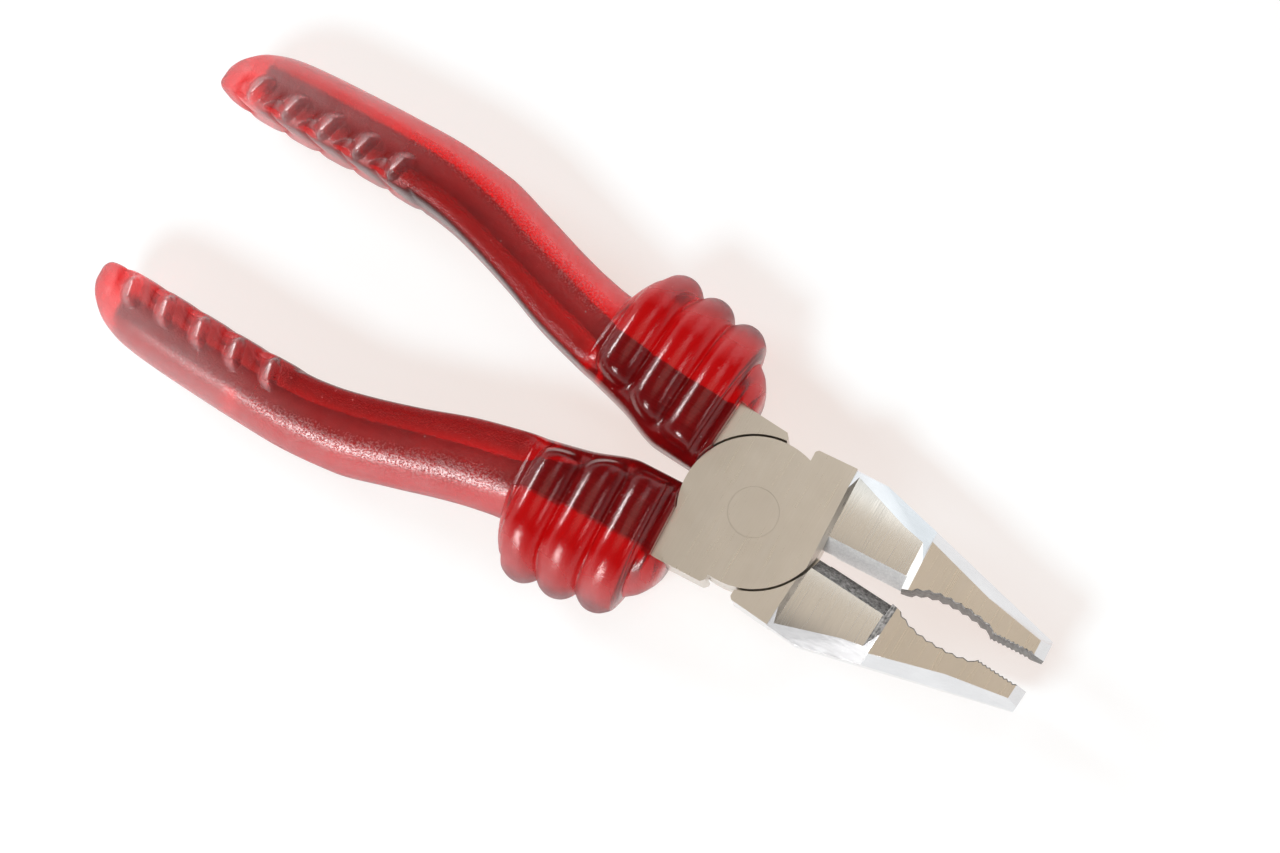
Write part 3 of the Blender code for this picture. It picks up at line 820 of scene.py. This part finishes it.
def finger_ridges(points, normals):
    """Five tongues on the top and underside, each with a hollow behind it, that run over into flank lobes.

    Gives the height, and from 0 to 1 where the backs of the tongues, the hollows and the flank flats are.
    """
    x, away, high = points[..., 0], -points[..., 1], np.abs(points[..., 2])
    from_edge = away - inner_edge(x)
    top_share = ease(np.abs(normals[..., 2]), *TOP_FACE)
    flank_share = ease(normals[..., 1], *FLANK_FACE)
    down = (half_height(x) - high) * (1 - top_share)
    zone = ease(x, *FINGERS_START) * (1 - ease(x, *FINGERS_END))
    tongues, hollows, lobes, backs = (np.zeros_like(x) for _ in range(4))
    for root in RIDGE_ROOTS:
        off = x - root - RIDGE_LEAN * from_edge - FLANK_LEAN * down
        past_end = np.maximum(0.0, from_edge - RIDGE_LENGTH + RIDGE_HALF)
        short = np.maximum(past_end, RIDGE_START + RIDGE_HALF - from_edge)
        wide = np.where(off < 0, RIDGE_BACK, RIDGE_FRONT)
        reach = np.hypot(off / wide, short / RIDGE_HALF)
        tongue = 1 - np.clip(reach, 0, 1) ** RIDGE_ARCH
        tongues = np.maximum(tongues, tongue)
        backs = np.maximum(backs, tongue * (1 - ease(off, *BACK_FACE)))
        spot = ((off + HOLLOW_BEHIND) / HOLLOW_HALF) ** 2 + (from_edge / HOLLOW_LENGTH) ** 2
        hollows = np.maximum(hollows, np.maximum(0.0, 1 - spot))
        lobes = np.maximum(lobes, 1 - np.clip(np.abs(off) / (RIDGE_PITCH / 2), 0, 1) ** FLANK_FLAT)
    on_top = (RIDGE_RISE * tongues - HOLLOW_DEPTH * hollows) * top_share
    on_flank = FLANK_RISE * (lobes - 0.5) * flank_share * (1 - top_share)
    tip = 1 - ease(x, *TIP_FADE)
    flats = lobes * zone + tip * (1 - zone)
    return (on_top + on_flank) * zone, backs * top_share * zone, hollows * zone, flats


finger_height, tongue_backs, hollows, flank_flats = finger_ridges(bare, bare_normals)
print("finger ridges rise by up to", round(float(finger_height.max()), 2), "mm")

# %% [markdown]
# The vinyl needs to know more than a shape can tell it. So each vertex keeps four values that its material
# reads as attributes: how far across the sleeve it lies, how much painted shade darkens it along the palm
# side, and where the backs of the tongues and the flats of the flank are.

# %% Marks for the vinyl
# Painted shade along the palm side: its strength differs between the two faces of the half and between top
# and flank.
SHADE_EDGE = (0.18, 0.5)
FRONT_SHADE = 0.8
BACK_SHADE = 0.78
COLLAR_SHADE = 0.2

inner, outer = inner_edge(bare[..., 0]), outer_edge(bare[..., 0])
across = (-bare[..., 1] - inner) / (outer - inner)
finished = bare + (rib_height + finger_height)[..., None] * bare_normals


def painted_palm_shade():
    """From 0 to 1, how much painted shade darkens the palm side: less in hollows, at the tip and on the
    collar.
    """
    along = finished[..., 0]
    back_shade = 1 - (1 - BACK_SHADE) * ease(np.abs(bare_normals[..., 2]), *TOP_FACE)
    shade = (1 - ease(across, *SHADE_EDGE)) * np.where(finished[..., 2] > 0, FRONT_SHADE, back_shade)
    on_collar = 1 - (1 - COLLAR_SHADE) * ease(along, *COLLAR_BACK)
    return shade * (1 - hollows) * ease(along, *TIP_FADE) * on_collar


MARKS = {"across": across, "painted_palm_shade": painted_palm_shade(), "tongue": tongue_backs, "flank_flat": flank_flats}
print("marks:", {name: round(float(values.mean()), 2) for name, values in MARKS.items()})


# %% Sleeve mesh
def tube_bmesh(rings):
    """A plain open tube of that many rings, from a cone subdivided along its length."""
    bm = bmesh.new()
    bmesh.ops.create_cone(bm, cap_ends=False, segments=RING, radius1=1.0, radius2=1.0, depth=1.0)
    lengthwise = [edge for edge in bm.edges if abs(edge.verts[0].co.z - edge.verts[1].co.z) > 0.5]
    bmesh.ops.subdivide_edges(bm, edges=lengthwise, cuts=rings - 2)
    return bm


def sleeve_blank():
    """The sleeve as a closed solid with its marks, before its cavity is cut."""
    points = finished * MM
    count = len(points)
    bm = tube_bmesh(count)
    layers = {name: bm.verts.layers.float.new(name) for name in MARKS}
    for vert in bm.verts:
        i = round((vert.co.z + 0.5) * (count - 1))
        k = round(math.atan2(vert.co.y, vert.co.x) / (2 * math.pi) * RING) % RING
        vert.co = points[i, k]
        for name, layer in layers.items():
            vert[layer] = MARKS[name][i, k]
    open_edges = [edge for edge in bm.edges if edge.is_boundary]
    bmesh.ops.holes_fill(bm, edges=open_edges, sides=0)
    bmesh.ops.recalc_face_normals(bm, faces=bm.faces)
    return bm


blank = sleeve_blank()
loose_edges = sum(not edge.is_manifold for edge in blank.edges)
print("sleeve blank:", len(blank.faces), "faces, open edges", loose_edges)

# %% [markdown]
# ## Cavity for the tang
# A real sleeve is moulded hollow and pushed over the tang. Through clear vinyl the cavity shows, so it is
# cut with the shapes that take its room: the tang itself, a block for the lever's shoulder at the mouth,
# and a round room in which the other lever's lap disc turns. A boolean is the plain way to cut such
# different shapes at once.

# %% Plug of the tang
TANG_HALF = 4.0
TANG_END = -117.3
TANG_ROOT = -10.0
TANG_STATIONS = 26
PRESS_FIT = 0.03
tang_inner = smooth_curve((
    (-117.35, 15.8), (-100.1, 17.4), (-80.3, 18.2), (-70.0, 16.9), (-60.1, 14.6), (-50.2, 12.4),
    (-39.9, 10.4), (-36.1, 8.8), (-28.1, 5.8), (-19.9, 3.9), (-9.6, 3.4)))
tang_outer = smooth_curve((
    (-117.35, 20.2), (-100.1, 21.6), (-80.3, 22.6), (-70.0, 21.5), (-60.1, 19.1), (-50.2, 16.8),
    (-39.9, 14.6), (-34.0, 13.8), (-24.3, 13.4), (-9.6, 13.8)))


def tang_plug():
    """What the tang takes out of the sleeve, a hair smaller than the tang, which stretches the vinyl."""
    bm = bmesh.new()
    bmesh.ops.create_grid(bm, x_segments=TANG_STATIONS - 1, y_segments=1, size=1.0)
    start = TANG_END + PRESS_FIT
    half = TANG_HALF - PRESS_FIT
    for vert in bm.verts:
        x = start + (TANG_ROOT - start) * (vert.co.x + 1) / 2
        away = tang_inner(x) + PRESS_FIT if vert.co.y > 0 else tang_outer(x) - PRESS_FIT
        vert.co = Vector((x, -away, -half)) * MM
    lifted = bmesh.ops.extrude_face_region(bm, geom=bm.faces[:])["geom"]
    upper = [part for part in lifted if isinstance(part, bmesh.types.BMVert)]
    bmesh.ops.translate(bm, vec=Vector((0, 0, 2 * half * MM)), verts=upper)
    bmesh.ops.recalc_face_normals(bm, faces=bm.faces)
    return bm


print("tang is", round(TANG_ROOT - TANG_END, 1), "mm long in the sleeve")

# %% Mouth of the sleeve
SEAT_X = -12.22
SEAT_SIDE = 14.75
SEAT_SIZE = Vector((30.0, 30.0, 40.0))
LAP_ROOM = 13.4 * MM
LAP_ROOM_DEPTH = 40.0 * MM
LAP_ROOM_STEPS = 160


def seat_block():
    """The room for the lever's shoulder at the sleeve's mouth."""
    bm = bmesh.new()
    middle = Vector((SEAT_X + SEAT_SIZE.x / 2, SEAT_SIZE.y / 2 - SEAT_SIDE, 0))
    place = Matrix.Translation(middle * MM) @ Matrix.Diagonal((*(SEAT_SIZE * MM), 1))
    bmesh.ops.create_cube(bm, size=1.0, matrix=place)
    return bm


def lap_room():
    """The round room for the other lever's lap disc."""
    bm = bmesh.new()
    bmesh.ops.create_cone(bm, cap_ends=True, segments=LAP_ROOM_STEPS, radius1=LAP_ROOM, radius2=LAP_ROOM,
                          depth=LAP_ROOM_DEPTH)
    return bm


def cut(target, tools):
    """Takes the tools out of the target and gives the result as a new mesh."""
    for tool in tools:
        step = target.modifiers.new(tool.name, "BOOLEAN")
        step.operation = "DIFFERENCE"
        step.solver = "EXACT"
        step.object = tool
    graph = bpy.context.evaluated_depsgraph_get()
    graph.update()
    made = bpy.data.meshes.new_from_object(target.evaluated_get(graph))
    for used in [target, *tools]:
        bpy.data.objects.remove(used)
    return made


sleeve = in_scene("sleeve_blank", mesh_from(blank, "sleeve_blank"))
cutters = {"tang_plug": tang_plug(), "seat_block": seat_block(), "lap_room": lap_room()}
tools = [in_scene(name, mesh_from(bm, name)) for name, bm in cutters.items()]
sleeve_mesh = cut(sleeve, tools)
print("sleeve cut:", len(sleeve_mesh.polygons), "faces")

# %% [markdown]
# ## Red vinyl
# The sleeve is clear vinyl dyed red, so its colour comes from depth: thin edges are pink, thick parts are
# deep red, and where the steel tang lies inside it looks maroon. A red paint could not do that. The shader
# lets four fifths of the light through, and the volume absorbs it on its way. The rest scatters in the
# skin, whose colour carries painted shade along the palm side and painted light, a paler pink, on the
# outside, on the flank flats and towards the end. All of it is made from a few masks that tell where on the
# sleeve a point lies. Places along x are in metres here, as the Object coordinates are.

# %% Vinyl and its constants
VINYL_CLEAR = 0.80
VINYL_DEPTH = (0.995, 0.07, 0.10, 1.0)
VINYL_DENSITY = 215.0

vinyl, tree, shader = blank_material("clear_red_vinyl")
dress(tree, shader, {
    "IOR": 1.47,
    "Specular IOR Level": 0.4,
    "Transmission Weight": VINYL_CLEAR,
    "Coat Roughness": 0.35,
    "Coat IOR": 1.9,
    "Sheen Weight": 0.08,
    "Sheen Roughness": 0.3,
    "Sheen Tint": (1.0, 0.72, 0.72, 1.0),
})
absorb = add(tree, "VolumeAbsorption", Color=VINYL_DEPTH, Density=VINYL_DENSITY)
give(tree, absorb.outputs["Volume"], tree.nodes["Material Output"].inputs["Volume"])
print("vinyl lets", VINYL_CLEAR, "of the light through")

# %% Masks on the sleeve
COLLAR_X = (-0.042, -0.036)
OUTER_LOOK = (0.2, 0.8)
# How much painted light, a paler skin, the outside and the flank flats get.
OUTER_PALENESS = 0.9
PALM_LOOK = (-0.9, -0.3)
PALM_PALENESS = (1.3, 0.7)
FLATS_X = (-0.112, -0.078)
FLATS_PALENESS = 0.8

coordinates = add(tree, "TexCoord").outputs
spot = coordinates["Object"]
place = add(tree, "SeparateXYZ", Vector=spot).outputs
facing = add(tree, "SeparateXYZ", Vector=coordinates["Normal"]).outputs
mark = {name: add(tree, "Attribute", {"attribute_name": name}).outputs["Fac"] for name in MARKS}
outward_look = product(tree, calculate(tree, "SIGN", place["Y"]), facing["Y"])
on_handle = spread(tree, place["X"], 1.0, 0.0, *COLLAR_X)
on_outside = spread(tree, outward_look, 0.0, OUTER_PALENESS, *OUTER_LOOK)
by_fingers = spread(tree, place["X"], FLATS_PALENESS, 0.0, *FLATS_X)
on_palm_side = spread(tree, outward_look, *PALM_PALENESS, *PALM_LOOK)
on_flats = product(tree, by_fingers, on_palm_side, mark["flank_flat"])
print("vinyl has", len(tree.nodes), "nodes with its masks")

# %% Dye of the vinyl, with painted shade and painted light
# Colour of the painted shade along the palm side.
VINYL_PAINTED_SHADE = (0.12, 0.004, 0.005)
VINYL_DEEP = (0.95, 0.018, 0.023)
VINYL_COLLAR = (0.53, 0.010, 0.013)
VINYL_PALE = (1.0, 0.60, 0.61)
PAINTED_END_LIGHT = 0.7
PAINTED_END_LIGHT_X = (-0.112, -0.074)
PAINTED_END_LIGHT_ACROSS = (0.3, 0.5)
CLOUD_SIZE = 5.0
CLOUD_SHARE = (0.7, 1.15)

# Painted light: towards the end the skin turns paler, standing for a broad hazy highlight.
painted_end_light = product(tree, spread(tree, place["X"], PAINTED_END_LIGHT, 0.0, *PAINTED_END_LIGHT_X),
                   spread(tree, mark["across"], 0.0, 1.0, *PAINTED_END_LIGHT_ACROSS))
clouds = effect(tree, "skin_grain", spot, Size=CLOUD_SIZE)
# Painted light: the skin is paler on the outside, on the flank flats and towards the end, standing for light
# glowing through and off the vinyl.
painted_pale_light = product(tree, highest(tree, on_outside, on_flats, painted_end_light), spread(tree, clouds, *CLOUD_SHARE))
red = between(tree, on_handle, VINYL_COLLAR, VINYL_DEEP)
# The red gets its painted shade along the palm side here, then the paler painted light on top.
dye_with_painted_light_and_shade = between(tree, painted_pale_light, between(tree, mark["painted_palm_shade"], red, VINYL_PAINTED_SHADE), VINYL_PALE)
specks = effect(tree, "specks", spot, Size=1.6, Share=0.28, Dot=0.15)
give(tree, between(tree, specks, dye_with_painted_light_and_shade, VINYL_PALE), shader.inputs["Base Color"])
print("vinyl has", len(tree.nodes), "nodes with its dye")

# %% [markdown]
# The skin is smooth on the ribs, grainy on the handle and hazy at the end and on the worn outside. Grain,
# specks and the parting line of the mould are bumps, one on top of the other.

# %% Skin of the vinyl
RIB_ROUGHNESS = 0.17
HANDLE_ROUGHNESS = 0.25
LOBE_ROUGHNESS = 0.48
END_ROUGHNESS = 0.55
END_ROUGH_X = (-0.115, -0.075)
LOBE_ROUGH_SHARE = (0.1, 0.6)
GRAIN_SIZE = 0.36
SKIN_DEPTH = 0.13
RIB_GRAIN = 0.22
SPECK_DEPTH = 0.1
SPECK_BUMP = 0.6
PARTING_HALF = 0.16 * MM
PARTING_DEPTH = 0.12

roughness = highest(tree, spread(tree, on_handle, RIB_ROUGHNESS, HANDLE_ROUGHNESS, 0.0, 1.0),
                    spread(tree, place["X"], END_ROUGHNESS, RIB_ROUGHNESS, *END_ROUGH_X),
                    spread(tree, on_outside, 0.0, LOBE_ROUGHNESS, *LOBE_ROUGH_SHARE))
grain = effect(tree, "skin_grain", spot, Size=GRAIN_SIZE)
grain_bump = spread(tree, highest(tree, on_handle, on_outside), RIB_GRAIN, 1.0, 0.0, 1.0)
off_middle = calculate(tree, "ABSOLUTE", calculate(tree, "SUBTRACT", place["Z"], HEAD_MIDDLE))
parting_line = spread(tree, off_middle, 1.0, 0.0, 0.0, PARTING_HALF)
grained = bumped(tree, grain, SKIN_DEPTH, grain_bump)
specked = bumped(tree, specks, SPECK_DEPTH, SPECK_BUMP, grained)
parted = bumped(tree, parting_line, PARTING_DEPTH, 1.0, specked)
dress(tree, shader, {"Roughness": roughness, "Normal": parted})
print("vinyl has", len(tree.nodes), "nodes with its skin")

# %% [markdown]
# The handle shines in grains, as if it had a broken glaze: a coat that lies only on the tops of the grain,
# on the outer half of the sleeve, on the backs of the tongues and on the flats of the flank. The collar and
# the tip have none.

# %% Glaze of the handle
GLAZE_GRAIN = (0.43, 0.60)
GLAZE_ACROSS = (0.4, 0.62)
GLAZE_RIM = (0.80, 0.97)
GLAZE_AT_RIM = 0.15
TONGUE_GLAZE = (0.05, 0.4)
END_GLAZE = 0.6
END_GLAZE_X = (-0.095, -0.078)
END_GLAZE_ACROSS = (0.5, 0.75)
FLATS_GLAZE = 0.5
TIP_X = (-0.1205, -0.116)

on_grain = product(tree, spread(tree, grain, 0.0, 1.0, *GLAZE_GRAIN),
                   spread(tree, mark["across"], 0.0, 1.0, *GLAZE_ACROSS),
                   spread(tree, mark["across"], 1.0, GLAZE_AT_RIM, *GLAZE_RIM))
on_tongues = spread(tree, mark["tongue"], 0.0, 1.0, *TONGUE_GLAZE)
on_end = product(tree, spread(tree, place["X"], END_GLAZE, 0.0, *END_GLAZE_X),
                 spread(tree, mark["across"], 0.0, 1.0, *END_GLAZE_ACROSS))
on_flank = spread(tree, on_flats, 0.0, FLATS_GLAZE, 0.0, 1.0)
glaze = highest(tree, on_grain, on_tongues, on_end, on_flank)
off_tip = spread(tree, place["X"], 0.0, 1.0, *TIP_X)
give(tree, product(tree, glaze, off_tip, on_handle), shader.inputs["Coat Weight"])
print("vinyl has", len(tree.nodes), "nodes in all")

# %% Sleeves in place
for side, half_place in HALF_PLACES.items():
    mesh = sleeve_mesh.copy()
    mesh.transform(half_place)
    mesh.materials.clear()
    mesh.materials.append(vinyl)
    mesh.shade_smooth()
    mesh.set_sharp_from_angle(angle=SMOOTH_ANGLE)
    show(side + "_sleeve", mesh, side + "_half", side + "_lever_grip")
